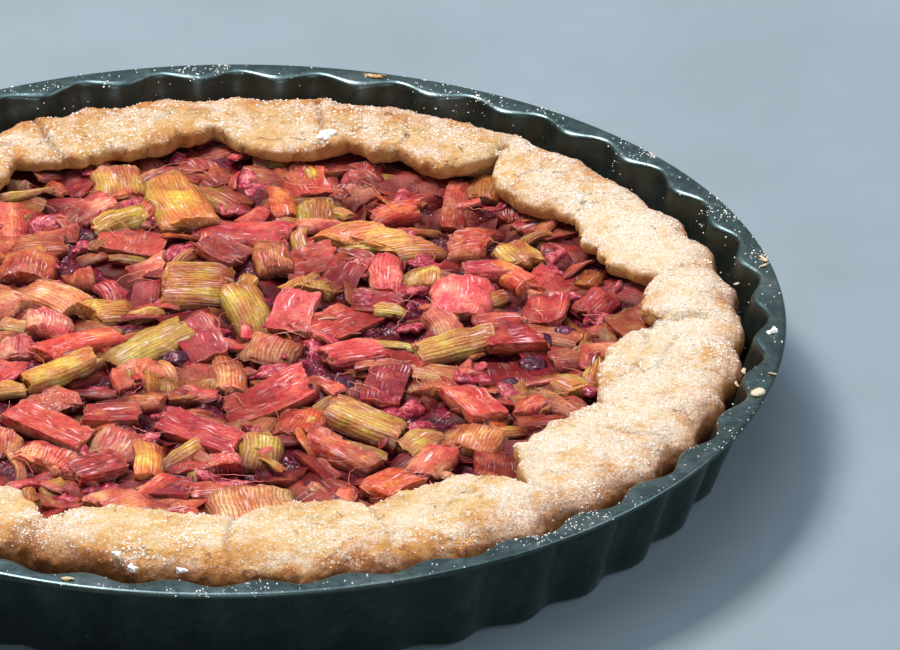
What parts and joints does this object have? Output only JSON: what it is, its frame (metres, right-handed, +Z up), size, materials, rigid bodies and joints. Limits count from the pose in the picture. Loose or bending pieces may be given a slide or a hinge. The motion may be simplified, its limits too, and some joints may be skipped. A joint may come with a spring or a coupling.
{
  "type": "rhubarb tart in a fluted tin",
  "caption": "Round open rhubarb tart with a folded-in shortcrust rim, heaped with baked rhubarb pieces, in its dark fluted steel tin with a flat flange.",
  "frame": {"origin": "centre of the tin's underside, where it rests on a table", "axes": "+Z up out of the tart's open top; +X towards the part of the rim with the lapped fold; +Y makes a right-handed frame"},
  "size_m": [0.3, 0.3, 0.0326],
  "materials": {
    "tin": "dark non-stick coated pressed steel, dusted with icing sugar",
    "crust": "baked shortcrust pastry, pale gold, browner at the outer edge, dusted with sugar",
    "filling": "cooked rhubarb jam, dark red and glossy",
    "rhubarb_green": "baked rhubarb stalk, yellow-green, ribbed and glazed",
    "rhubarb_pink": "baked rhubarb stalk, salmon pink, glazed",
    "rhubarb_red": "baked rhubarb stalk, red, glazed",
    "rhubarb_brown": "baked rhubarb stalk, brown red, ribbed and glazed",
    "rhubarb_tan": "baked rhubarb stalk, pale tan, ribbed",
    "berry": "cooked dark berry, nearly black purple and wet"
  },
  "bodies": {
    "root": {"tin": "tin", "crust": "crust", "rhubarb_filling": "filling", "rhubarb_01": "rhubarb_green", "rhubarb_02": "rhubarb_pink", "rhubarb_03": "rhubarb_pink", "rhubarb_04": "rhubarb_pink", "rhubarb_05": "rhubarb_green", "rhubarb_06": "rhubarb_red", "rhubarb_07": "rhubarb_brown", "rhubarb_08": "rhubarb_green", "rhubarb_09": "rhubarb_red", "rhubarb_10": "rhubarb_pink", "rhubarb_11": "rhubarb_brown", "rhubarb_12": "rhubarb_green", "rhubarb_13": "rhubarb_pink", "rhubarb_14": "rhubarb_pink", "rhubarb_15": "rhubarb_green", "rhubarb_16": "rhubarb_brown", "rhubarb_17": "rhubarb_brown", "rhubarb_18": "rhubarb_brown", "rhubarb_19": "rhubarb_green", "rhubarb_20": "rhubarb_pink", "rhubarb_21": "rhubarb_tan", "rhubarb_22": "rhubarb_red", "rhubarb_23": "rhubarb_green", "rhubarb_24": "rhubarb_green", "rhubarb_25": "rhubarb_green", "rhubarb_26": "rhubarb_red", "rhubarb_27": "rhubarb_tan", "rhubarb_28": "rhubarb_tan", "rhubarb_29": "rhubarb_tan", "rhubarb_30": "rhubarb_red", "rhubarb_31": "rhubarb_tan", "rhubarb_32": "rhubarb_green", "rhubarb_33": "rhubarb_pink", "rhubarb_34": "rhubarb_red", "rhubarb_35": "rhubarb_brown", "rhubarb_36": "rhubarb_pink", "dark_berry_1": "berry", "dark_berry_2": "berry", "dark_berry_3": "berry", "dark_berry_4": "berry", "dark_berry_5": "berry", "dark_berry_6": "berry"}
  },
  "joints": []
}
